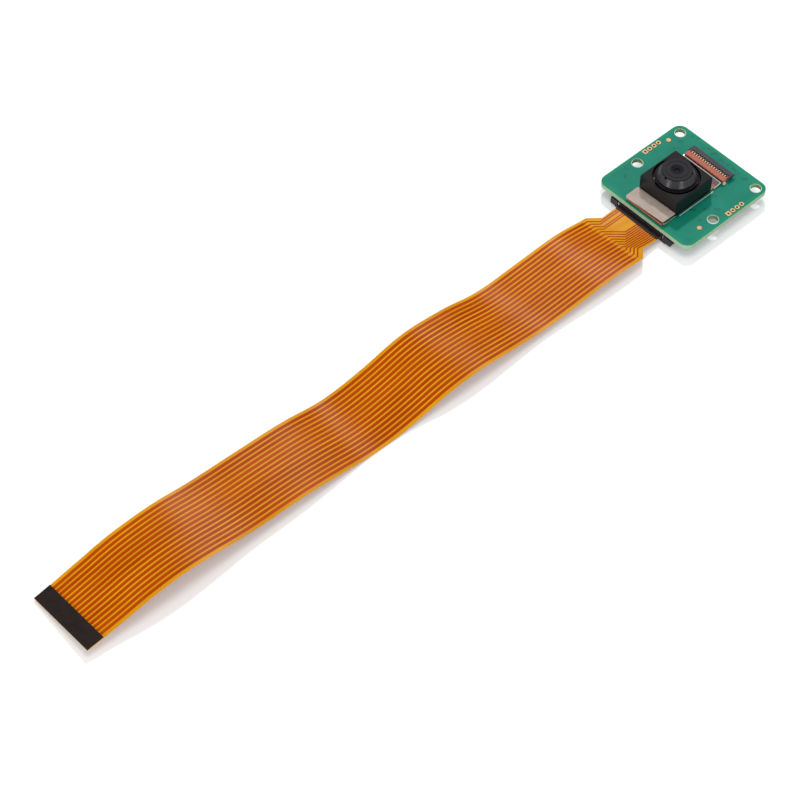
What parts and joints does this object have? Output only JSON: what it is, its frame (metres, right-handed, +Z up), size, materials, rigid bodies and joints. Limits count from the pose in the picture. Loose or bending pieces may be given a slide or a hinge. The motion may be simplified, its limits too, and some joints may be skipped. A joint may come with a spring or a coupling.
{
  "type": "camera module",
  "caption": "Small autofocus camera on a square circuit board, its flex held by a flip-lock connector, with a slide-lock connector and a flat ribbon cable.",
  "frame": {"origin": "on the surface that the board's slide-lock connector stands on, under the middle of the board and its connectors, without the cable", "axes": "+X along the board's longer side, +Y from the cable's side to the flip-lock connector's side, +Z up, the way the lens looks"},
  "size_m": [0.025, 0.1701, 0.0092],
  "materials": {
    "board_mask": "satin green lacquer over laminate",
    "gold_plating": "thin gold plating",
    "tin_plating": "matte tin plating",
    "cable_film": "translucent amber film with copper traces",
    "stiffener_dark": "dark stiffening film",
    "connector_white": "ivory heat-proof plastic",
    "connector_black": "dark moulded plastic",
    "connector_rose": "rose-brown heat-proof plastic",
    "connector_grey": "dark grey moulded plastic",
    "adhesive": "grey adhesive tape",
    "foam": "green closed foam tape",
    "flex_film": "copper-coloured flexible circuit",
    "substrate": "pale rigid laminate",
    "cover_strip": "beige stiffener",
    "module_black": "black moulded plastic",
    "silicon": "polished silicon",
    "filter_glass": "coated glass",
    "lens_glass": "clear coated optical plastic",
    "spring_copper": "etched copper alloy",
    "magnet_nickel": "nickel plate",
    "coil_wire": "enamelled copper wire",
    "ceramic_tan": "tan ceramic with tinned ends",
    "chip_black": "black moulded epoxy",
    "can_steel": "plated lid"
  },
  "bodies": {
    "camera_board": {"circuit_board": "board_mask", "header_pads_left": "gold_plating", "header_pads_right": "gold_plating", "fiducial_pads": "gold_plating", "flat_cable": "cable_film", "cable_stiffener_near": "stiffener_dark", "cable_stiffener_far": "stiffener_dark", "cable_contacts_near": "gold_plating", "cable_contacts_far": "tin_plating", "cable_connector_housing": "connector_white", "cable_connector_tabs": "tin_plating", "cable_connector_contacts": "tin_plating", "sensor_connector_housing": "connector_rose", "sensor_connector_tabs": "tin_plating", "sensor_connector_contacts": "gold_plating", "adhesive_pad": "adhesive", "foam_pad": "foam", "sensor_flex_tail": "flex_film", "sensor_substrate": "substrate", "flex_cover_strip": "cover_strip", "image_sensor": "silicon", "module_base": "module_black", "ir_filter": "filter_glass", "module_cover": "module_black", "spring_lower": "spring_copper", "spring_upper": "spring_copper", "focus_magnets": "magnet_nickel", "decoupling_capacitors": "ceramic_tan", "bias_resistors": "chip_black", "voltage_regulators": "chip_black", "clock_oscillator": "can_steel", "focus_driver_chip": "chip_black"},
    "cable_lock": {"cable_connector_slider": "connector_black"},
    "sensor_lock": {"sensor_connector_actuator": "connector_grey"},
    "lens_drive": {"lens_carrier": "module_black", "focus_coil": "coil_wire", "lens_barrel": "module_black", "lens_front": "lens_glass", "lens_second": "lens_glass", "lens_third": "lens_glass", "lens_rear": "lens_glass", "lens_spacers": "module_black", "lens_retainer": "module_black"}
  },
  "joints": [
    {"name": "cable_lock_slide", "type": "slide", "parent": "camera_board", "child": "cable_lock", "axis": [0, -1, 0], "range_m": [0, 0.0012]},
    {"name": "sensor_lock_flip", "type": "hinge", "parent": "camera_board", "child": "sensor_lock", "pos_m": [0, 0.00759, 0.0036], "axis": [1, 0, 0], "range_deg": [0, 90]},
    {"name": "lens_focus", "type": "slide", "parent": "camera_board", "child": "lens_drive", "axis": [0, 0, 1], "range_m": [0, 0.0003], "stiffness_N_per_m": 30}
  ]
}
